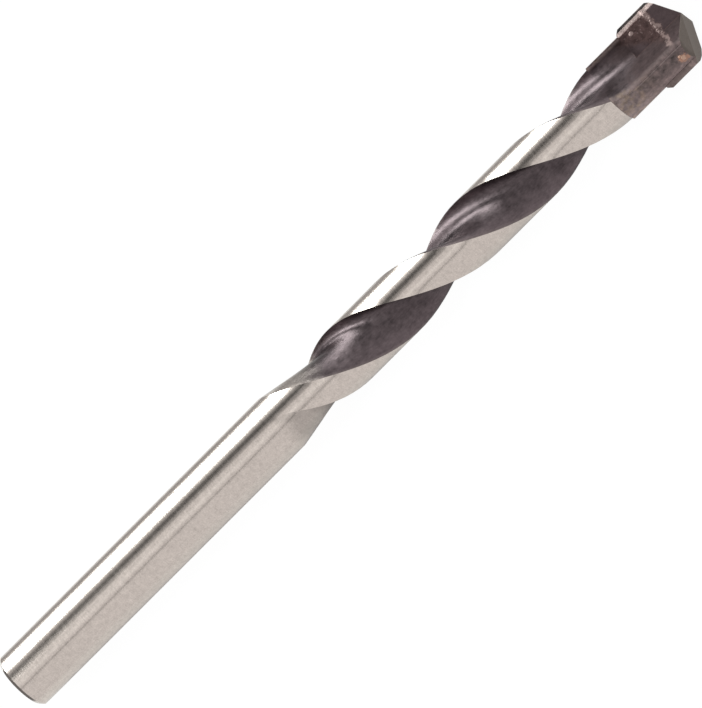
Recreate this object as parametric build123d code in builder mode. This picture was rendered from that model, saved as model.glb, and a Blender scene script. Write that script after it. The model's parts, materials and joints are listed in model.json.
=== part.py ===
from build123d import *

import os
from math import acos, atan2, cos, degrees, hypot, pi, radians, sin, sqrt, tan

# Masonry drill bit: a two-flute steel body with a carbide cutting plate brazed into its head.
# The axis is X, from the centre of the shank's end face (the origin) to the chisel edge.
# The plate lies level, across Y, and the bit turns right-handed about +X.
# All sizes are in millimetres and degrees.

os.makedirs("parts", exist_ok=True)

# Steel body
bit_length = 120.0  # shank end to chisel edge
shank_diameter = 8.2
shank_length = 46.0  # plain cylinder that the chuck holds
shank_chamfer = 0.45
land_taper = 0.02  # the ground lands widen this much, in radius, from the shank to the head
flute_gap = 0.7  # from the shank's end to where the flute's floor leaves the surface
head_diameter = 8.7  # the head keeps the rod's raw surface
head_length = 13.6  # from where the ground lands stop to the chisel edge
shoulder_length = 0.12  # short slope between land and head

# Flutes: two alike, half a turn apart
run_in_length = 27.0  # from the shank's end to the flute's full depth
twist_length = 48.0  # one full turn
flute_phase = -30.0  # the flute's middle in the head, from +Z towards -Y
straight_length = 12.05  # the helix has faded to straight this far from the chisel edge
fade_length = 2.6  # half of the length over which it fades
web_radius = 1.35  # half the steel left between the two flutes
lead_half_angle = 52.0  # middle of the flute to the land's sharp leading edge
floor_radius = 2.0  # hollow of the floor, under the leading edge
heel_radius = 1.0  # rounded back of the land
heel_rise = 0.1  # how far that rounding goes out past the shank's surface
heel_angle = 59.3  # middle of the flute to the rounding's outermost point
heel_trim = 14.0  # the rounding's last degrees, left off where it leaves the rod
entry_spread = 0.4  # share by which the flute is wider where it is shallow
cut_clearance = 0.3  # how far out of the head the flute's curve is drawn
cut_depth = 2.5  # how far out of that curve the cut goes on
cut_overrun = 2.0  # how far the cut goes on past its two ends
cut_sections = 48
heel_steps = 3  # points along the parts of each section's curve
ramp_steps = 3
floor_steps = 6

# Carbide plate
tip_diameter = 10.0
plate_height = 7.8  # from the plate's lower edge to the chisel edge
plate_thickness = 2.2
plate_corner_height = 0.55  # the lower corners are sloped
plate_corner_width = 0.5
plate_bevel_width = 0.6  # bevel along the leading side edges
plate_bevel_depth = 0.5
plate_lean_width = 0.3  # the side leans in by this much below the bevel
plate_lean_depth = 0.8
point_angle = 127.0
relief_angle = 21.5  # slope of the flank behind each cutting edge

# Braze
braze_gap = 0.1  # film all round the plate

# Derived
shank_radius = shank_diameter / 2
land_radius = shank_radius + land_taper
head_radius = head_diameter / 2
heel_reach = shank_radius + heel_rise
clear_radius = head_radius + cut_clearance
far_radius = clear_radius + cut_depth
flute_start = shank_length + flute_gap
head_start = bit_length - head_length
twist_end = bit_length - straight_length
plate_bottom = bit_length - plate_height
twist_rate = 360 / twist_length
flute_depth = land_radius - web_radius
point_slope = 1 / tan(radians(point_angle / 2))
relief_slope = tan(radians(relief_angle))


def polar(radius, angle):
    """A point of the flute's section: angle from its middle, positive to the leading side."""
    return radius * sin(radians(angle)), radius * cos(radians(angle))


def flute_profile():
    """Points along the full-depth flute, from the rounded heel to the leading edge."""
    heel = polar(heel_reach - heel_radius, -heel_angle)
    ramp_angle = degrees(acos((web_radius - heel_radius) / (heel_reach - heel_radius))) - heel_angle
    normal = polar(1, ramp_angle)
    along = (normal[1], -normal[0])

    # centre of the floor's hollow: tangent to the ramp, and through the leading edge
    edge = polar(land_radius, lead_half_angle)
    base = [n * (web_radius + floor_radius) for n in normal]
    gap = (edge[0] - base[0], edge[1] - base[1])
    reach = gap[0] * along[0] + gap[1] * along[1]
    shift = reach - sqrt(reach**2 - gap[0] ** 2 - gap[1] ** 2 + floor_radius**2)
    floor = (base[0] + along[0] * shift, base[1] + along[1] * shift)

    points = []
    heel_from = heel_trim - heel_angle
    for i in range(heel_steps + 1):
        angle = heel_from + (ramp_angle - heel_from) * i / heel_steps
        step = polar(heel_radius, angle)
        points.append((heel[0] + step[0], heel[1] + step[1]))
    ramp_head = points[-1]
    ramp_foot = (floor[0] - floor_radius * normal[0], floor[1] - floor_radius * normal[1])
    for i in range(1, ramp_steps):
        points.append(tuple(a + (b - a) * i / ramp_steps for a, b in zip(ramp_head, ramp_foot)))
    # the hollow goes on past the leading edge until it is clear of the head
    distance = hypot(*floor)
    bend = acos((distance**2 + floor_radius**2 - clear_radius**2) / (2 * distance * floor_radius))
    back = degrees(atan2(floor[0], floor[1]))
    last = back - degrees(bend)
    for i in range(floor_steps + 1):
        angle = ramp_angle + (last - ramp_angle) * i / floor_steps
        step = polar(floor_radius, angle)
        points.append((floor[0] - step[0], floor[1] - step[1]))
    return points


def flute_section(depth):
    """The flute's section at a share of its full depth, as points from heel to leading edge."""
    lift = (clear_radius - land_radius + depth * flute_depth) / (clear_radius - web_radius)
    section = []
    for u, v in full_profile:
        radius = clear_radius - lift * (clear_radius - hypot(u, v))
        angle = degrees(atan2(u, v)) * (1 + entry_spread * (1 - depth))
        section.append(polar(radius, angle))
    return section


def flute_turn(x):
    """Angle of the flute's middle at x, from +Z towards -Y."""
    left = twist_end - x
    if left < -fade_length:
        left = 0
    elif left < fade_length:
        left = (left + fade_length) ** 2 / (4 * fade_length)
    return flute_phase - twist_rate * left


def flute_plane(x):
    """Plane across the axis at x, turned with the flute."""
    turn = radians(flute_turn(x))
    return Plane(origin=(x, 0, 0), x_dir=(0, cos(turn), sin(turn)), z_dir=(1, 0, 0))


def flute_share(x):
    """Share of the full depth at x."""
    return sin(pi / 2 * min(1, (x - flute_start) / run_in_length))


full_profile = flute_profile()
first_section = flute_start - cut_overrun
last_section = bit_length + cut_overrun

with BuildPart() as flute:
    for i in range(cut_sections):
        x = first_section + (last_section - first_section) * i / (cut_sections - 1)
        curve = flute_section(flute_share(x))
        heel_side = degrees(atan2(*curve[0]))
        lead_side = degrees(atan2(*curve[-1]))
        with BuildSketch(flute_plane(x)):
            with BuildLine():
                Spline(*curve)
                Polyline(
                    curve[-1],
                    polar(far_radius, lead_side),
                    polar(far_radius * 1.5, (lead_side + heel_side) / 2),
                    polar(far_radius, heel_side),
                    curve[0],
                )
            make_face()
    loft()

with BuildPart() as rod:
    with BuildSketch(Plane.XY):
        with BuildLine():
            Polyline(
                (0, 0),
                (0, shank_radius - shank_chamfer),
                (shank_chamfer, shank_radius),
                (shank_length, shank_radius),
                (head_start, land_radius),
                (head_start + shoulder_length, head_radius),
                (last_section, head_radius),
                (last_section, 0),
                close=True,
            )
        make_face()
    revolve(axis=Axis.X)
    add(flute.part, mode=Mode.SUBTRACT)
    add(flute.part.rotate(Axis.X, 180), mode=Mode.SUBTRACT)

# The two flanks, which meet in the chisel edge
flanks = [
    Plane(origin=(bit_length, 0, 0), z_dir=(1, -side * point_slope, side * relief_slope))
    for side in (1, -1)
]

with BuildPart() as tip:
    half = tip_diameter / 2
    with BuildSketch(Plane.XY):
        with BuildLine():
            Polyline(
                (plate_bottom, plate_corner_width - half),
                (plate_bottom + plate_corner_height, -half),
                (last_section, -half),
                (last_section, half),
                (plate_bottom + plate_corner_height, half),
                (plate_bottom, half - plate_corner_width),
                close=True,
            )
        make_face()
    extrude(amount=plate_thickness / 2, both=True)
    # across the plate: each leading side edge is bevelled, and the side below it leans
    face = plate_thickness / 2
    lean = half - plate_lean_width
    side = [
        (lean - plate_bevel_width, face),
        (lean, face - plate_bevel_depth),
        (half, face - plate_bevel_depth - plate_lean_depth),
        (half, -face),
    ]
    with BuildSketch(Plane.YZ):
        with BuildLine():
            Polyline(*side, *[(-y, -z) for y, z in side], close=True)
        make_face()
    extrude(amount=last_section, mode=Mode.INTERSECT)
    for flank in flanks:
        split(bisect_by=flank, keep=Keep.BOTTOM)

slot_bottom = plate_bottom - braze_gap
slot_width = plate_thickness + 2 * braze_gap
slot_length = last_section - slot_bottom

with BuildPart() as steel:
    add(rod.part)
    with Locations((slot_bottom + slot_length / 2, 0, 0)):
        Box(slot_length, tip_diameter, slot_width, mode=Mode.SUBTRACT)
    for flank in flanks:
        split(bisect_by=flank, keep=Keep.BOTTOM)

with BuildPart() as joint:
    add(rod.part)
    with Locations((slot_bottom + slot_length / 2, 0, 0)):
        Box(slot_length, tip_diameter, slot_width, mode=Mode.INTERSECT)
    for flank in flanks:
        split(bisect_by=flank, keep=Keep.BOTTOM)
    add(tip.part, mode=Mode.SUBTRACT)

steel.part.label = "steel_body"
tip.part.label = "carbide_tip"
joint.part.label = "braze"

export_step(steel.part, "parts/steel_body.step")
export_step(tip.part, "parts/carbide_tip.step")
export_step(joint.part, "parts/braze.step")
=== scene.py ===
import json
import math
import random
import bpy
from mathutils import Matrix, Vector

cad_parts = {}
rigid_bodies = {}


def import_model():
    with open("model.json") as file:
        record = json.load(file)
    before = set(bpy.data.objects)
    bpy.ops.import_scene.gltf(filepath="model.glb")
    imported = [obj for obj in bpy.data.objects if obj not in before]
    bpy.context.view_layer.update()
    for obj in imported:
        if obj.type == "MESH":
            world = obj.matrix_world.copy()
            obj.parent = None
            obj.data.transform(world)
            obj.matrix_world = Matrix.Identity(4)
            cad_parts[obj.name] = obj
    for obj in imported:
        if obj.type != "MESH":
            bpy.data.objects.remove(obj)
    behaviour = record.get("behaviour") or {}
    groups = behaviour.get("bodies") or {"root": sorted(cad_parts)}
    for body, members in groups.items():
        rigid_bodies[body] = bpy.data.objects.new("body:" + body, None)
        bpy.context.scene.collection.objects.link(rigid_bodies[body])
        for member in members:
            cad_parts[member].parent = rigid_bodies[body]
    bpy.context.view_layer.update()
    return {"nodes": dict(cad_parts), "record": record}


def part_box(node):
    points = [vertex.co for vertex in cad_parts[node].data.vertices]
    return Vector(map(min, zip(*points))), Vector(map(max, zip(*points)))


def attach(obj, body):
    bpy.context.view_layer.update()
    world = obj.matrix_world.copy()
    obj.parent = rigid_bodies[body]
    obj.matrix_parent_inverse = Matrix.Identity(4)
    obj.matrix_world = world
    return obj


bl_info = {
    "name": "Masonry drill bit",
    "version": (1, 0, 0),
    "blender": (4, 5, 0),
    "location": "View3D > Sidebar > Drill bit",
    "description": "Finishes, braze beads and studio of a masonry drill bit",
    "category": "Object",
}

import bpy
from mathutils import Matrix, Vector

# The startup scene's own objects go first
for leftover in list(bpy.data.objects):
    bpy.data.objects.remove(leftover)

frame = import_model()

MM = 0.001
PER_METRE = 1000.0
ALONG = Vector((1, 0, 0))
ACROSS = Vector((0, 1, 0))
UP = Vector((0, 0, 1))

# Sizes read from the frame, in millimetres
steel_low, steel_high = (corner * PER_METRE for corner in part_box("steel_body"))
plate_low, plate_high = (corner * PER_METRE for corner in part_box("carbide_tip"))
mounts = {mount["name"]: mount for mount in frame["record"]["mounts"]}
shank_radius = mounts["shank"]["dims"]["r_mm"]
bit_length = plate_high.x
plate_bottom = plate_low.x
plate_face = plate_high.z
head_radius = steel_high.y
floor_height = steel_low.z

# The axis at half the bit's length, in metres
middle = bit_length / 2 * MM * ALONG


# Settings

def colour(name, description, value):
    """A colour that a user can change."""
    return bpy.props.FloatVectorProperty(
        name=name, description=description, subtype="COLOR", size=3, min=0, max=1, default=value
    )


def share(name, description, value):
    """A number from 0 to 1 that a user can change."""
    return bpy.props.FloatProperty(
        name=name, description=description, subtype="FACTOR", min=0, max=1, default=value
    )


def size(name, description, millimetres):
    """A length that a user can change, given in millimetres and kept in metres."""
    return bpy.props.FloatProperty(
        name=name,
        description=description,
        subtype="DISTANCE",
        unit="LENGTH",
        precision=5,
        default=millimetres * MM,
    )


def power(name, description, watts):
    """A lamp's power that a user can change."""
    return bpy.props.FloatProperty(
        name=name, description=description, unit="POWER", min=0, precision=4, default=watts
    )


def turn(name, description, degrees):
    """An angle that a user can change."""
    return bpy.props.FloatProperty(
        name=name, description=description, subtype="ANGLE", default=math.radians(degrees)
    )


class SteelSettings(bpy.types.PropertyGroup):
    """Finish of the steel body."""

    ground: colour("Ground steel", "Shank, lands and where the flutes begin", (0.81, 0.715, 0.655))
    flute: colour("Flutes", "Dark skin inside the flutes", (0.115, 0.09, 0.095))
    head: colour("Head", "Raw skin of the head", (0.33, 0.262, 0.256))
    head_patch: colour("Head patches", "Browner patches on the head", (0.4, 0.31, 0.26))
    edge: colour("Worn edge", "Bare steel along the flutes' edges", (0.5, 0.42, 0.4))
    ground_roughness: share("Ground roughness", "Roughness of the shank and the lands", 0.18)
    flute_roughness: share("Flute roughness", "Roughness inside the flutes", 0.36)
    land_taper: size("Land taper", "How much the lands widen, in radius, towards the head", 0.02)
    head_length: size("Head length", "From the end of the lands to the chisel edge", 13.6)
    dark_from: size("Dark from", "From the shank's end face to where the flutes turn dark", 55.5)


class PlateSettings(bpy.types.PropertyGroup):
    """Finish of the carbide plate and its braze."""

    carbide: colour("Carbide", "Clean carbide", (0.1, 0.072, 0.075))
    edge: colour("Plate edge", "Ground side edges of the plate", (0.21, 0.16, 0.152))
    flank: colour("Flank", "Ground flanks of plate and head", (0.285, 0.242, 0.215))
    scale: colour("Burnt flux", "Brown film that brazing leaves", (0.104, 0.066, 0.063))
    braze: colour("Braze", "Braze metal", (0.72, 0.47, 0.36))
    crust: colour("Crust", "Pale crust where the flux stopped", (0.37, 0.275, 0.26))
    plate_roughness: share("Plate roughness", "Roughness of the plate's film", 0.48)
    braze_roughness: share("Braze roughness", "Roughness of the braze in the joint", 0.45)
    bead_roughness: share("Bead roughness", "Roughness of the braze's drops and crumbs", 0.48)
    tide: size("Tide line", "From the plate's lower edge to where the flux stopped", 4.75)
    smear: size("Smear", "From the plate's lower edge to a smear of braze on the head", 4.3)
    smear_across: size("Smear across", "From the bit's axis, sideways, to the smear", 3.25)


class BeadSettings(bpy.types.PropertyGroup):
    """Drops and crumbs of braze that flowed out of the joint."""

    drop_length: size("Drop length", "Length of the drop on the head, along the bit", 0.75)
    drop_width: size("Drop width", "Width of the drop on the head", 0.95)
    drop_height: size("Drop height", "How far the drop stands out of the head", 0.16)
    crumb_least: size("Smallest crumb", "Width of the smallest crumb on the plate", 0.25)
    crumb_most: size("Largest crumb", "Width of the largest crumb on the plate", 0.5)
    crumbs: bpy.props.IntProperty(
        name="Crumbs", description="How many crumbs lie along the tide line", min=2, default=10
    )


class StudioSettings(bpy.types.PropertyGroup):
    """Floor, lamps and camera."""

    floor: colour("Floor", "Pale floor", (0.74, 0.74, 0.74))
    surround: share("Surround", "Brightness of the room around the bit", 0.66)
    key_power: power("Key power", "Power of the lamp beside the bit", 0.85)
    end_power: power("End power", "Power of the lamp above the shank's end", 0.95)
    fill_power: power("Fill power", "Power of the weak lamp beside the camera", 0.0085)
    view_distance: size("Camera distance", "From the camera to the middle of the bit", 800.0)
    view_tilt: turn("View tilt", "How far the camera leans towards the tip", 10.5)
    view_roll: turn("View roll", "Slant of the bit's axis in the picture", 45.01)


# Shader maths

class Value:
    """A number that varies over a surface: Python's operators add the Math nodes."""

    def __init__(self, graph, socket):
        self.graph = graph
        self.socket = socket

    def __add__(self, other):
        return self.graph.math("ADD", self, other)

    def __radd__(self, other):
        return self.graph.math("ADD", other, self)

    def __sub__(self, other):
        return self.graph.math("SUBTRACT", self, other)

    def __rsub__(self, other):
        return self.graph.math("SUBTRACT", other, self)

    def __mul__(self, other):
        return self.graph.math("MULTIPLY", self, other)

    def __rmul__(self, other):
        return self.graph.math("MULTIPLY", other, self)

    def __truediv__(self, other):
        return self.graph.math("DIVIDE", self, other)

    def __pow__(self, other):
        return self.graph.math("POWER", self, other)

    def __abs__(self):
        return self.graph.math("ABSOLUTE", self)


class Graph:
    """The nodes of one material or world."""

    def __init__(self, tree):
        self.tree = tree
        tree.nodes.clear()

    def feed(self, socket, value):
        """Link a Value or a socket to a socket, or set a constant on it."""
        if isinstance(value, Value):
            self.tree.links.new(value.socket, socket)
        elif isinstance(value, bpy.types.NodeSocket):
            self.tree.links.new(value, socket)
        elif socket.type == "RGBA" and len(value) == 3:
            socket.default_value = (*value, 1)
        else:
            socket.default_value = value

    def node(self, kind, settings, sockets):
        """A node of this kind. A socket is named by its identifier or its place."""
        made = self.tree.nodes.new(kind)
        for name, value in settings.items():
            setattr(made, name, value)
        places = {socket.identifier: socket for socket in made.inputs}
        for key, value in sockets.items():
            self.feed(made.inputs[key] if isinstance(key, int) else places[key], value)
        return made

    def math(self, operation, *values):
        """A Math node's result."""
        made = self.node("ShaderNodeMath", {"operation": operation}, dict(enumerate(values)))
        return Value(self, made.outputs[0])

    def vector(self, operation, *values):
        """A Vector Math node's result. SCALE takes a vector and a factor."""
        keys = (0, "Scale") if operation == "SCALE" else (0, 1)
        made = self.node("ShaderNodeVectorMath", {"operation": operation}, dict(zip(keys, values)))
        return made.outputs[0]

    def mix(self, kind, mask, first, second):
        """The first colour or vector where the mask is 0 and the second where it is 1."""
        name = {"RGBA": "Color", "VECTOR": "Vector"}[kind]
        sockets = {"Factor_Float": mask, f"A_{name}": first, f"B_{name}": second}
        made = self.node("ShaderNodeMix", {"data_type": kind}, sockets)
        return next(socket for socket in made.outputs if socket.identifier == f"Result_{name}")

    def rise(self, value, start, end):
        """0 before start, 1 after end, and smooth between them."""
        settings = {"interpolation_type": "SMOOTHSTEP"}
        sockets = {"Value": value, "From Min": start, "From Max": end}
        made = self.node("ShaderNodeMapRange", settings, sockets)
        return Value(self, made.outputs["Result"])

    def millimetres(self):
        """The point on the piece, in millimetres, as a vector and as x, y and z."""
        place = self.node("ShaderNodeTexCoord", {}, {}).outputs["Object"]
        scaled = self.vector("SCALE", place, PER_METRE)
        parts = self.node("ShaderNodeSeparateXYZ", {}, {0: scaled}).outputs
        return (scaled, *(Value(self, part) for part in parts))

    def squareness(self, y, z, radius):
        """1 where the surface faces straight away from the bit's axis, and less elsewhere."""
        normal = self.node("ShaderNodeTexCoord", {}, {}).outputs["Normal"]
        parts = self.node("ShaderNodeSeparateXYZ", {}, {0: normal}).outputs
        return (Value(self, parts[1]) * y + Value(self, parts[2]) * z) / radius

    def noise(self, place, stretch, detail=2.0, roughness=0.5):
        """Noise from 0 to 1. Stretch is how many grains it has per millimetre along x, y and z."""
        scaled = self.vector("MULTIPLY", place, stretch)
        sockets = {"Vector": scaled, "Scale": 1.0, "Detail": detail, "Roughness": roughness}
        return Value(self, self.node("ShaderNodeTexNoise", {}, sockets).outputs[0])

    def uneven(self, place, stretch, contrast):
        """Patches around 0, up to about the contrast either way."""
        return (self.noise(place, stretch, detail=3.0, roughness=0.6) - 0.5) * (contrast * 4)

    def shade(self, tint, amount):
        """A colour made darker or lighter by a factor."""
        return self.vector("SCALE", tint, amount)

    def layers(self, tint, *layers):
        """A colour with others laid over it in turn, each through its mask."""
        for mask, layer in layers:
            tint = self.mix("RGBA", mask, tint, layer)
        return tint

    def bump(self, height, millimetres, normal=None):
        """The normal of a surface that stands out by height times this many millimetres."""
        sockets = {"Strength": 1.0, "Distance": millimetres * MM, "Height": height}
        if normal is not None:
            sockets["Normal"] = normal
        return self.node("ShaderNodeBump", {}, sockets).outputs[0]

    def rounded(self, place, mask):
        """The surface's own normal, turned to stand square to the bit's axis by the mask."""
        square = self.vector("NORMALIZE", self.vector("MULTIPLY", place, ACROSS + UP))
        own = self.node("ShaderNodeNewGeometry", {}, {}).outputs["Normal"]
        return self.mix("VECTOR", mask, own, square)

    def metal(self, tint, roughness, normal):
        """A metal surface, and the end of the graph."""
        sockets = {"Base Color": tint, "Metallic": 1.0, "Roughness": roughness, "Normal": normal}
        shader = self.node("ShaderNodeBsdfPrincipled", {}, sockets)
        self.node("ShaderNodeOutputMaterial", {}, {"Surface": shader.outputs[0]})


def new_material(name):
    """An empty node material and its graph."""
    material = bpy.data.materials.new(name)
    material.use_nodes = True
    return material, Graph(material.node_tree)


def dress(node, material):
    """Give a CAD node its finish."""
    frame["nodes"][node].material_slots[0].material = material


# Patterns of uneven colour: grains per millimetre along x, y and z, and the contrast
RINGS = ((7.0, 0.3, 0.3), 0.06)
BLOTCH = ((1.6, 1.6, 1.6), 0.1)
SPECK = ((5.0, 5.0, 5.0), 0.12)
MOTTLE = ((1.2, 1.2, 1.2), 0.3)
CLOUD = ((0.35, 0.35, 0.35), 0.25)
DRAWN = ((1.2, 4.0, 4.0), 0.24)
FLECKS = ((1.6, 1.6, 1.6), 0.35)
WANDER = ((0.7, 0.8, 0.4), 0.5)
JAGGED = ((2.2, 2.6, 1.0), 0.25)
PLATE_GRAIN = ((7.0, 7.0, 7.0), 0.12)
PLATE_MOTTLE = ((1.4, 1.4, 1.4), 0.3)
BRAZE_MOTTLE = ((1.6, 1.6, 1.6), 0.3)
BEAD_MOTTLE = ((3.0, 3.0, 3.0), 0.3)

# Patterns of patches: grains per millimetre, detail and roughness
PATCH_NOISE = ((0.9, 0.9, 0.9), 3.0, 0.6)
CRUST_NOISE = ((1.6, 2.0, 1.6), 2.0, 0.5)
SPOT_NOISE = ((2.4, 2.4, 2.4), 2.0, 0.5)

# The pairs below say where a mask starts to rise from 0 and where it reaches 1, in millimetres
# unless their comment says otherwise

# Along the bit, from the shank's end face
END_FACE = (0.6, 0.5)
EDGE_START = (45.8, 46.2)
SMOOTH_TO = (53.0, 50.0)
WORN_FROM = (56.0, 62.0)

# Along the bit, from where the flutes turn dark
DARKENED = (-4.0, 1.5)

# Along the bit, from the end of the lands
SHOULDER = (0.1, 0.0)
HEATED = (0.5, 5.5)
PATCHED = (6.5, 1.5)

# Along the bit, from the plate's lower edge, the film's foot, the tide line and the flanks
SOOT = (1.3, -0.2)
FILM_START = (-0.9, 0.7)
CRUST_START = (-0.8, -0.35)
CRUST_END = (0.1, -0.25)
CLEAN = (-0.05, 0.15)
FLANK_SKIN = (-0.05, -0.02)

# Inwards from the surface of the lands, and from that of the head
LAND_SKIN = (0.07, 0.04)
LAND_RIM = (0.3, 0.06)
SUNKEN = (0.05, 0.5)
HEAD_SKIN = (0.7, 0.15)
FRINGE = (0.12, 0.35)

# Outwards from the bit's axis
WORN_OUT = (1.7, 3.6)
HEATED_OUT = (2.0, 3.4)

# To the side: counted alike on the bit's two halves, then to either side, then towards +Y
RUBBED = (-2.8, -3.9)
BLEND_IN = (-2.8, -0.2)
BLEND_OUT = (2.6, 2.2)
# Where painted shade on the plate's outer side faces, below the bevel, begins and becomes full
PLATE_SIDE_SHADE = (4.58, 4.7)
PLATE_EDGE = (4.12, 4.3)
BEADS_BURNT = (-2.0, -1.0)

# Upwards from the bit's axis
UPPER_SIDE = (0.5, 1.0)

# Not in millimetres
ROUND_FACE = (0.972, 0.988)  # how squarely the surface faces away from the axis
CRUST_SIDE = (-6.0, -3.0)  # y times z
SMEAR_EDGE = (1.5, 0.3)  # square of the distance from the smear's middle, in its half sizes
CRUST_GAPS = (0.2, 0.55)  # noise
PATCHES = (0.4, 0.62)  # noise
SPOTS = (0.62, 0.7)  # noise
BARE = (0.12, 0.3)  # mottle

# The film's foot is a slope, which lies this far under the plate's lower edge at this distance
# to the side
FOOT_DROP = 1.0
FOOT_ACROSS = 3.76
FOOT_SLOPE = 1.3

# Half the smear's length and half its width
SMEAR_LENGTH = 0.6
SMEAR_WIDTH = 0.62

# How well a layer covers what lies under it
RIM_COVER = 0.15
HEAT_COVER = 0.5
HEAD_CRUST_COVER = 0.8
SMEAR_COVER = 0.9
SPOT_COVER = 0.35
PLATE_CRUST_COVER = 0.85
BARE_COVER = 0.5

# Depth of the fine grain, in millimetres
GRAIN_DEPTH = 0.004
BRAZE_GRAIN_DEPTH = 0.01
BEAD_GRAIN_DEPTH = 0.02

# The two ground flanks, as the source has them: angles in degrees, and the slopes they give
POINT_ANGLE = 127.0
RELIEF_ANGLE = 21.5
POINT_SLOPE = 1 / math.tan(math.radians(POINT_ANGLE / 2))
RELIEF_SLOPE = math.tan(math.radians(RELIEF_ANGLE))


def to_side(graph, y, z):
    """How far a point lies to the side, counted alike on the bit's two halves."""
    return y * graph.math("SIGN", z)


def flank_mask(graph, x, y, z):
    """1 on the two ground flanks and 0 elsewhere."""
    face = bit_length - abs(y * POINT_SLOPE - z * RELIEF_SLOPE)
    return graph.rise(x - face, *FLANK_SKIN)


def flux_masks(graph, place, x, y, z, plate):
    """Where brazing left its brown film, what stayed clean, and the crust between the two."""
    ragged = graph.uneven(place, *WANDER) + graph.uneven(place, *JAGGED)
    from_tide = x - (plate_bottom + plate.tide * PER_METRE + ragged)
    foot = plate_bottom - FOOT_DROP + FOOT_SLOPE * (FOOT_ACROSS - to_side(graph, y, z)) + ragged
    clean = graph.rise(from_tide, *CLEAN)
    film = graph.rise(x - foot, *FILM_START) * (1 - clean)
    crust = graph.rise(from_tide, *CRUST_START) * graph.rise(from_tide, *CRUST_END)
    crust = crust * graph.rise(graph.noise(place, *CRUST_NOISE), *CRUST_GAPS)
    return film, clean, crust


def smear_mask(graph, x, y, z, plate, ragged):
    """1 on the smear of braze that ran over the head, with a ragged edge."""
    along = (x - plate_bottom - plate.smear * PER_METRE) / SMEAR_LENGTH
    across = (y + plate.smear_across * PER_METRE) / SMEAR_WIDTH
    inside = graph.rise(along * along + across * across + ragged, *SMEAR_EDGE)
    return inside * graph.rise(z, *UPPER_SIDE)


def finish_steel(settings, plate):
    """Ground shank and lands, dark flutes, raw head and ground flanks."""
    material, graph = new_material("bit_steel")
    place, x, y, z = graph.millimetres()
    radius = (y * y + z * z) ** 0.5
    land_depth = shank_radius + settings.land_taper * PER_METRE - radius
    head_depth = head_radius - radius
    from_head = x - (bit_length - settings.head_length * PER_METRE)
    from_dark = x - settings.dark_from * PER_METRE
    side = to_side(graph, y, z)

    # Uneven colour
    rings = graph.uneven(place, *RINGS)
    blotch = graph.uneven(place, *BLOTCH)
    speck = graph.uneven(place, *SPECK)
    mottle = graph.uneven(place, *MOTTLE)
    cloud = graph.uneven(place, *CLOUD)
    drawn = graph.uneven(place, *DRAWN)
    flecks = graph.uneven(place, *FLECKS)

    # Where each surface lies
    behind_head = graph.rise(from_head, *SHOULDER)
    in_head = 1 - behind_head
    round_face = graph.rise(graph.squareness(y, z, radius), *ROUND_FACE)
    land_skin = graph.rise(land_depth, *LAND_SKIN) * round_face * behind_head
    ground = graph.math("MAXIMUM", land_skin, graph.rise(x, *END_FACE))
    head_skin = graph.rise(head_depth, *HEAD_SKIN) * in_head
    rim = graph.rise(land_depth, *LAND_RIM) * behind_head * (1 - ground)
    dark = graph.rise(from_dark + 4 * cloud, *DARKENED)
    smooth_part = graph.rise(x, *SMOOTH_TO)
    smooth = graph.math("MAXIMUM", ground, smooth_part)
    flank = flank_mask(graph, x, y, z)

    # Wear, heat and the braze's traces
    worn = graph.rise(radius, *WORN_OUT) * graph.rise(x, *WORN_FROM) * behind_head
    sunken = graph.rise(land_depth, *SUNKEN)
    rubbed = graph.rise(side, *RUBBED)
    fringe = graph.rise(head_depth, *FRINGE)
    patch = graph.rise(graph.noise(place, *PATCH_NOISE), *PATCHES)
    patch = patch * graph.rise(from_head, *PATCHED)
    heated = graph.rise(from_head + 3 * mottle, *HEATED)
    heated = heated * graph.rise(radius + 0.25 * from_head, *HEATED_OUT)
    film, _, crust = flux_masks(graph, place, x, y, z, plate)
    crust = crust * in_head
    smear = smear_mask(graph, x, y, z, plate, 9 * speck + 4 * mottle) * head_skin

    # Colours, each laid over those before it
    ground_tint = graph.shade(settings.ground, 1 + rings + blotch + speck)
    flute_tint = graph.shade(settings.flute, 0.95 + mottle + drawn + cloud + 0.5 * worn)
    head_tint = graph.layers(settings.head, (patch, settings.head_patch))
    head_tint = graph.shade(head_tint, 0.95 + mottle + flecks + 0.5 * rubbed + 0.3 * fringe)
    tint = graph.layers(
        graph.shade(ground_tint, 1 - 0.3 * sunken),
        (dark, flute_tint),
        (rim * dark * RIM_COVER, settings.edge),
        (heated * HEAT_COVER, graph.shade(plate.scale, 0.9 + mottle)),
        ((1 - head_skin) * in_head * film, graph.shade(plate.scale, 1 + 2 * mottle + speck)),
        (head_skin, head_tint),
        (crust * graph.rise(z * y, *CRUST_SIDE) * HEAD_CRUST_COVER, plate.crust),
        (smear * SMEAR_COVER, plate.braze),
        (ground, ground_tint),
        (flank, graph.shade(plate.flank, 1 + speck)),
    )

    # The flutes' beginnings are as smooth as the shank
    shiny = settings.ground_roughness + 0.3 * rings
    dull = settings.flute_roughness + 0.15 * mottle + 0.35 * heated
    roughness = dull + smooth * (shiny - dull) + 0.25 * head_skin
    fine = smooth * rings * 3
    coarse = (1 - smooth) * (speck * 6 + mottle * 3 + head_skin * flecks * 6)
    grain = fine + coarse + smear * 3 + crust * 4

    # Each flute's leading edge is blended away where the flute begins
    blended = graph.rise(side, *BLEND_IN) * graph.rise(side, *BLEND_OUT)
    blended = blended * graph.rise(x, *EDGE_START) * smooth_part
    normal = graph.bump(grain, GRAIN_DEPTH, graph.rounded(place, blended))
    graph.metal(tint, roughness, normal)
    dress("steel_body", material)


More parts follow.
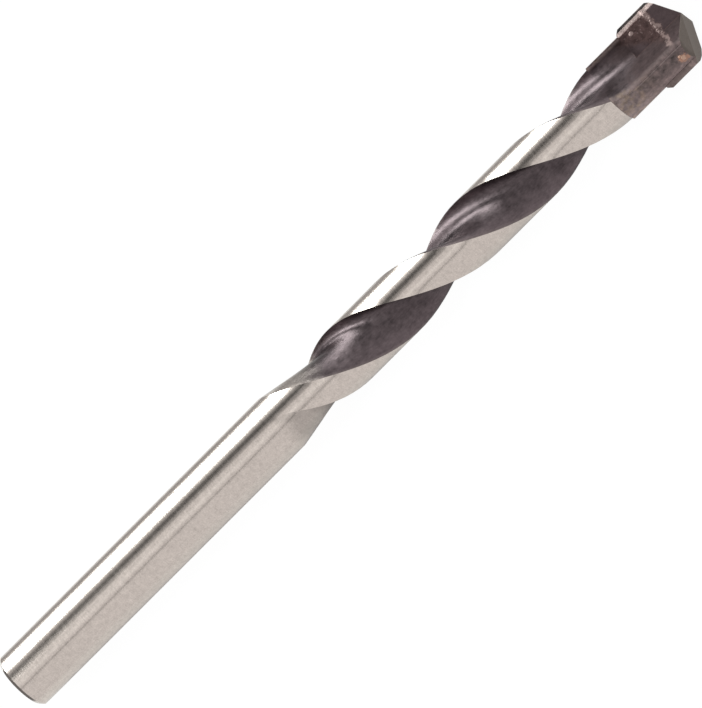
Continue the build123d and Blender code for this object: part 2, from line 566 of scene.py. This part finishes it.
def finish_plate(plate):
    """Dark carbide with a brown film up to the braze's tide line, and ground flanks."""
    material, graph = new_material("bit_carbide")
    place, x, y, z = graph.millimetres()
    grain = graph.uneven(place, *PLATE_GRAIN)
    mottle = graph.uneven(place, *PLATE_MOTTLE)
    film, clean, crust = flux_masks(graph, place, x, y, z, plate)
    edge = graph.rise(abs(y) + 0.3 * mottle, *PLATE_EDGE)
    # Painted shade: the plate's outer side faces below the bevel, darkened in the edge colour
    # further down
    under = graph.rise(to_side(graph, y, z), *PLATE_SIDE_SHADE)
    soot = graph.rise(x - plate_bottom + mottle, *SOOT)
    spots = graph.rise(graph.noise(place, *SPOT_NOISE), *SPOTS) * film

    face_tint = graph.layers(
        graph.shade(plate.carbide, 1 + grain + 0.6 * mottle),
        (film * (1 - edge), graph.shade(plate.scale, 1 + grain + 1.6 * mottle)),
        (spots * SPOT_COVER, plate.crust),
    )
    tint = graph.layers(
        graph.shade(face_tint, 1 - 0.35 * soot),
        # The ground edges' colour, with painted shade on the outer side faces
        (edge, graph.shade(plate.edge, 1 + grain + mottle - 0.8 * under)),
        (crust * PLATE_CRUST_COVER, plate.crust),
        (flank_mask(graph, x, y, z), graph.shade(plate.flank, 1 + grain)),
    )
    roughness = plate.plate_roughness - 0.08 * clean + grain
    height = grain * 6 + mottle * 4 * (1 - clean) + crust * 6
    graph.metal(tint, roughness, graph.bump(height, GRAIN_DEPTH))
    dress("carbide_tip", material)


def finish_braze(plate):
    """Braze metal under a burnt film, bare in places."""
    material, graph = new_material("bit_braze")
    place, x, y, z = graph.millimetres()
    mottle = graph.uneven(place, *BRAZE_MOTTLE)
    tint = graph.layers(
        graph.shade(plate.scale, 1 + mottle),
        (graph.rise(mottle, *BARE) * BARE_COVER, plate.crust),
        (flank_mask(graph, x, y, z), plate.flank),
    )
    roughness = plate.braze_roughness + 0.2 * mottle
    graph.metal(tint, roughness, graph.bump(mottle, BRAZE_GRAIN_DEPTH))
    dress("braze", material)


def finish_beads(plate):
    """Bare braze metal on the head, and burnt crumbs of it on the plate."""
    material, graph = new_material("braze_beads")
    place, _, y, _ = graph.millimetres()
    mottle = graph.uneven(place, *BEAD_MOTTLE)
    tint = graph.layers(plate.braze, (graph.rise(y, *BEADS_BURNT), plate.crust))
    tint = graph.shade(tint, 0.9 + mottle)
    roughness = plate.bead_roughness + 0.2 * mottle
    graph.metal(tint, roughness, graph.bump(mottle, BEAD_GRAIN_DEPTH))
    return material


# Beads of braze, in millimetres. A drop's size is its length along the bit, its width and height
SIDE_DROP = (0.5, 0.5, 0.12)
SIDE_DROP_SHIFT = Vector((-0.25, 0.42, 0.4))
PLATE_DROP = (0.75, 0.6, 0.14)
PLATE_DROP_UP = 1.55
PLATE_DROP_ACROSS = 3.4
BEAD_SINK = 0.03

# Crumbs: how far under the tide line, how far either way, and where their row starts and ends
CRUMB_DROP = 0.35
CRUMB_STRAY = 0.2
CRUMB_START = 3.9
CRUMB_END = 0.8

# A crumb's length and its height, as shares of its width
CRUMB_LENGTH = (0.8, 1.5)
CRUMB_HEIGHT = 0.22
CRUMB_SEED = 8

LUMP_SEED = 5
LUMP_ROUGHNESS = 0.07
BEAD_EDGE_ANGLE = math.radians(50)
SHRINK = Matrix.Diagonal((MM, MM, MM, 1))


def model_lump():
    """A lump with a flat underside, one across and half as high."""
    bpy.ops.object.select_all(action="DESELECT")
    bpy.ops.mesh.primitive_ico_sphere_add(subdivisions=3, radius=0.5)
    lump = bpy.context.object
    bpy.ops.object.mode_set(mode="EDIT")
    bpy.ops.mesh.select_all(action="SELECT")
    bpy.ops.transform.vertex_random(offset=LUMP_ROUGHNESS, seed=LUMP_SEED)
    bpy.ops.mesh.vertices_smooth(factor=0.5, repeat=2)
    bpy.ops.mesh.bisect(plane_co=(0, 0, 0), plane_no=UP, use_fill=True, clear_inner=True)
    bpy.ops.object.mode_set(mode="OBJECT")
    return lump


def copy_lump(lump, point, outward, lump_size):
    """A copy of the lump, sunk a little into the surface at the point. All in millimetres."""
    length, width, height = lump_size
    copy = bpy.data.objects.new("bead", lump.data.copy())
    bpy.context.collection.objects.link(copy)
    outward = outward.normalized()
    across = outward.cross(ALONG).normalized()
    stand = Matrix((across.cross(outward), across, outward)).transposed().to_4x4()
    place = Matrix.Translation((point - BEAD_SINK * outward) * MM)
    copy.data.transform(place @ stand @ Matrix.Diagonal((length, width, 2 * height, 1)) @ SHRINK)
    return copy


def add_beads(beads, plate):
    """Drops and crumbs of braze that flowed out of the joint."""
    lump = model_lump()
    smear_y = -plate.smear_across * PER_METRE
    smear_z = math.sqrt(head_radius**2 - smear_y**2)
    drop = Vector((plate_bottom + plate.smear * PER_METRE, smear_y, smear_z))
    drop_size = [beads.drop_length, beads.drop_width, beads.drop_height]
    drop_size = [length * PER_METRE for length in drop_size]
    outward = Vector((0, drop.y, drop.z))
    on_plate = Vector((plate_bottom + PLATE_DROP_UP, PLATE_DROP_ACROSS, plate_face))
    copies = [
        copy_lump(lump, drop, outward, drop_size),
        copy_lump(lump, drop + SIDE_DROP_SHIFT, outward, SIDE_DROP),
        copy_lump(lump, on_plate, UP, PLATE_DROP),
    ]

    draw = random.Random(CRUMB_SEED)
    crumb_line = plate_bottom + plate.tide * PER_METRE - CRUMB_DROP
    for step in range(beads.crumbs):
        x = crumb_line + draw.uniform(-CRUMB_STRAY, CRUMB_STRAY)
        y = CRUMB_START + (CRUMB_END - CRUMB_START) * step / (beads.crumbs - 1)
        width = draw.uniform(beads.crumb_least, beads.crumb_most) * PER_METRE
        length = width * draw.uniform(*CRUMB_LENGTH)
        crumb_size = (length, width, CRUMB_HEIGHT * width)
        copies.append(copy_lump(lump, Vector((x, y, plate_face)), UP, crumb_size))
    bpy.data.objects.remove(lump)

    bpy.ops.object.select_all(action="DESELECT")
    for copy in copies:
        copy.select_set(True)
    bpy.context.view_layer.objects.active = copies[0]
    bpy.ops.object.join()
    bpy.ops.object.shade_smooth_by_angle(angle=BEAD_EDGE_ANGLE)
    joined = bpy.context.object
    joined.name = "braze_beads"
    joined.data.name = "braze_beads"
    joined.data.materials.append(finish_beads(plate))
    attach(joined, "root")


# Studio, in metres

LAMP_TINT = (0.92, 1.0, 0.98)
FLOOR_SIZE = 12
FLOOR_ROUGHNESS = 0.12
FLOOR_GLOW = 1.06
FLOOR_WHITE = 0.9  # share of plain white in what the camera sees of the floor
WHITE = (1, 1, 1)
CARD_LIFT_MM = 0.1
# Painted shadow: the dark card that stands in for the bit's shadow on the floor lies this far to
# the side
SHADOW_CARD_Y = 0.0104
END_LOW_CARD_X = -0.054
END_CARD_DISTANCE = 0.16
low_card_height = (floor_height + CARD_LIFT_MM) * MM


def beside(side, distance, lean=0.0, forward=0.0):
    """A point around the bit: side is the angle from straight up towards +Y, and lean the
    angle towards the tip, both in degrees. Forward moves it along the bit."""
    around = math.radians(side)
    tilt = math.radians(lean)
    flat = math.cos(tilt)
    direction = Vector((math.sin(tilt), flat * math.sin(around), flat * math.cos(around)))
    return middle + distance * direction + forward * ALONG


def facing(point, long_side):
    """Placement at a point, turned to face the bit's middle, with its length along long_side."""
    back = (point - middle).normalized()
    across = back.cross(long_side).normalized()
    stand = Matrix((across.cross(back), across, back)).transposed().to_4x4()
    return Matrix.Translation(point) @ stand


def add_lamp(name, point, length, width, watts):
    """A soft lamp that faces the bit, with its length along it."""
    lamp = bpy.data.lights.new(name, "AREA")
    lamp.shape = "RECTANGLE"
    lamp.size = length
    lamp.size_y = width
    lamp.energy = watts
    lamp.color = LAMP_TINT
    holder = bpy.data.objects.new(name, lamp)
    bpy.context.collection.objects.link(holder)
    holder.matrix_world = facing(point, ALONG)


def add_lamps(studio):
    """Two lamps for the streaks of light on the steel, and a weak one beside the camera."""
    key = beside(side=79.5, distance=0.4, forward=-0.089)
    end = beside(side=28, distance=0.5, lean=-42)
    fill = beside(side=3, distance=0.4, forward=-0.07)
    add_lamp("key", key, length=0.2, width=0.155, watts=studio.key_power)
    add_lamp("end_lamp", end, length=0.23, width=0.16, watts=studio.end_power)
    add_lamp("fill", fill, length=0.24, width=0.075, watts=studio.fill_power)


def add_card(name, placement, length, width, shade):
    """A dark card that only the bit's reflections see."""
    bpy.ops.object.select_all(action="DESELECT")
    bpy.ops.mesh.primitive_plane_add(size=1)
    card = bpy.context.object
    card.name = name
    card.data.transform(placement @ Matrix.Diagonal((length, width, 1, 1)))
    material, graph = new_material(name)
    shader = graph.node("ShaderNodeEmission", {}, {"Color": (shade, shade, shade)})
    graph.node("ShaderNodeOutputMaterial", {}, {"Surface": shader.outputs[0]})
    card.data.materials.append(material)
    card.visible_camera = False
    card.visible_shadow = False
    card.visible_diffuse = False


def add_cards():
    """Cards that stand around the bit and lie under it, for the dark lines in its reflections. The
    card lying beside the bit is painted shadow: a dark sheet where the bit's shadow falls on the
    floor, which only the reflections see.
    """
    grey = facing(beside(side=41, distance=0.45, forward=-0.088), ALONG)
    dark = facing(beside(side=42, distance=0.44, forward=-0.088), ALONG)
    thin = facing(beside(side=-15, distance=0.3, forward=-0.06), ALONG)
    end = facing(middle - END_CARD_DISTANCE * ALONG, ACROSS)
    low = Matrix.Translation((middle.x, SHADOW_CARD_Y, low_card_height))
    end_low = Matrix.Translation((END_LOW_CARD_X, 0, low_card_height))
    add_card("grey_card", grey, length=0.22, width=0.275, shade=0.28)
    add_card("dark_card", dark, length=0.22, width=0.11, shade=0.05)
    add_card("thin_card", thin, length=0.19, width=0.022, shade=0.25)
    add_card("end_card", end, length=0.09, width=0.05, shade=0.16)
    # Painted shadow: a dark card lying on the floor beside the bit, seen only in its reflections
    add_card("low_card", low, length=0.2, width=0.0067, shade=0.36)
    add_card("end_low_card", end_low, length=0.095, width=0.05, shade=0.16)


def add_floor(studio):
    """A pale glossy floor that shows white to the camera and keeps a faint shadow."""
    bpy.ops.object.select_all(action="DESELECT")
    bpy.ops.mesh.primitive_plane_add(size=FLOOR_SIZE)
    floor = bpy.context.object
    floor.name = "floor"
    floor.data.transform(Matrix.Translation(floor_height * MM * UP))
    material, graph = new_material("floor")
    board_sockets = {"Base Color": studio.floor, "Roughness": FLOOR_ROUGHNESS}
    board = graph.node("ShaderNodeBsdfPrincipled", {}, board_sockets)
    glow = graph.node("ShaderNodeEmission", {}, {"Color": WHITE, "Strength": FLOOR_GLOW})
    seen = Value(graph, graph.node("ShaderNodeLightPath", {}, {}).outputs["Is Camera Ray"])
    mix_sockets = {0: seen * FLOOR_WHITE, 1: board.outputs[0], 2: glow.outputs[0]}
    mix = graph.node("ShaderNodeMixShader", {}, mix_sockets)
    graph.node("ShaderNodeOutputMaterial", {}, {"Surface": mix.outputs[0]})
    floor.data.materials.append(material)


def light_room(studio):
    """An even surround that shows white to the camera."""
    world = bpy.data.worlds.new("room")
    world.use_nodes = True
    graph = Graph(world.node_tree)
    seen = Value(graph, graph.node("ShaderNodeLightPath", {}, {}).outputs["Is Camera Ray"])
    strength = studio.surround + seen * (1 - studio.surround)
    background = graph.node("ShaderNodeBackground", {}, {"Color": WHITE, "Strength": strength})
    graph.node("ShaderNodeOutputWorld", {}, {"Surface": background.outputs[0]})
    bpy.context.scene.world = world


# The picture is taken as 702 by 708. The axis point at the bit's middle is seen at this pixel
PICTURE = Vector((702, 708))
MIDDLE_PIXEL = Vector((349.52, 354.42))
PIXELS_PER_MM = 7.976
SENSOR_MM = 36.0
VIEW_END = 20


def add_camera(studio):
    """A camera that sees the bit as the photograph does."""
    tilt = studio.view_tilt
    roll = studio.view_roll
    distance = studio.view_distance
    along = Vector((math.cos(tilt), 0, -math.sin(tilt)))
    back = Vector((math.sin(tilt), 0, math.cos(tilt)))
    right = along * math.cos(roll) - ACROSS * math.sin(roll)
    up = along * math.sin(roll) + ACROSS * math.cos(roll)

    camera = bpy.data.cameras.new("camera")
    camera.sensor_width = SENSOR_MM
    camera.sensor_fit = "AUTO"
    camera.lens = SENSOR_MM * PIXELS_PER_MM * distance * PER_METRE / max(PICTURE)
    camera.clip_end = VIEW_END
    holder = bpy.data.objects.new("camera", camera)
    bpy.context.collection.objects.link(holder)
    offset = (PICTURE / 2 - MIDDLE_PIXEL) / PIXELS_PER_MM * MM
    aim = middle + right * offset.x - up * offset.y
    stand = Matrix((right, up, back)).transposed().to_4x4()
    holder.matrix_world = Matrix.Translation(aim + back * distance) @ stand
    bpy.context.scene.camera = holder


# Operators

class DRILLBIT_OT_steel(bpy.types.Operator):
    """Give the steel body its ground, rolled and raw surfaces"""

    bl_idname = "drillbit.steel"
    bl_label = "Steel body"

    def execute(self, context):
        finish_steel(context.scene.drillbit_steel, context.scene.drillbit_plate)
        return {"FINISHED"}


class DRILLBIT_OT_plate(bpy.types.Operator):
    """Give the carbide plate its brown film, tide line and ground flanks"""

    bl_idname = "drillbit.plate"
    bl_label = "Carbide plate"

    def execute(self, context):
        finish_plate(context.scene.drillbit_plate)
        return {"FINISHED"}


class DRILLBIT_OT_braze(bpy.types.Operator):
    """Give the braze in the joint its metal and its burnt film"""

    bl_idname = "drillbit.braze"
    bl_label = "Braze"

    def execute(self, context):
        finish_braze(context.scene.drillbit_plate)
        return {"FINISHED"}


class DRILLBIT_OT_beads(bpy.types.Operator):
    """Add the drops and crumbs of braze that flowed out of the joint"""

    bl_idname = "drillbit.beads"
    bl_label = "Braze beads"

    def execute(self, context):
        add_beads(context.scene.drillbit_beads, context.scene.drillbit_plate)
        return {"FINISHED"}


class DRILLBIT_OT_studio(bpy.types.Operator):
    """Add the floor, the room, the lamps, the cards and the camera"""

    bl_idname = "drillbit.studio"
    bl_label = "Studio"

    def execute(self, context):
        studio = context.scene.drillbit_studio
        add_floor(studio)
        light_room(studio)
        add_lamps(studio)
        add_cards()
        add_camera(studio)
        context.scene.view_settings.view_transform = "Standard"
        return {"FINISHED"}


class DRILLBIT_PT_panel(bpy.types.Panel):
    """The bit's settings and steps"""

    bl_idname = "DRILLBIT_PT_panel"
    bl_label = "Drill bit"
    bl_space_type = "VIEW_3D"
    bl_region_type = "UI"
    bl_category = "Drill bit"

    def draw(self, context):
        layout = self.layout
        for name in SETTINGS:
            group = getattr(context.scene, name)
            for prop in group.bl_rna.properties:
                if prop.identifier not in ("rna_type", "name"):
                    layout.prop(group, prop.identifier)
        for operator in OPERATORS:
            layout.operator(operator.bl_idname)


SETTINGS = {
    "drillbit_steel": SteelSettings,
    "drillbit_plate": PlateSettings,
    "drillbit_beads": BeadSettings,
    "drillbit_studio": StudioSettings,
}
OPERATORS = (
    DRILLBIT_OT_steel,
    DRILLBIT_OT_plate,
    DRILLBIT_OT_braze,
    DRILLBIT_OT_beads,
    DRILLBIT_OT_studio,
)


def register():
    for cls in (*SETTINGS.values(), *OPERATORS, DRILLBIT_PT_panel):
        bpy.utils.register_class(cls)
    for name, group in SETTINGS.items():
        setattr(bpy.types.Scene, name, bpy.props.PointerProperty(type=group))


def unregister():
    for name in SETTINGS:
        delattr(bpy.types.Scene, name)
    for cls in reversed((*SETTINGS.values(), *OPERATORS, DRILLBIT_PT_panel)):
        bpy.utils.unregister_class(cls)


def main():
    register()
    bpy.ops.drillbit.steel()
    bpy.ops.drillbit.plate()
    bpy.ops.drillbit.braze()
    bpy.ops.drillbit.beads()
    bpy.ops.drillbit.studio()


if __name__ == "__main__":
    main()
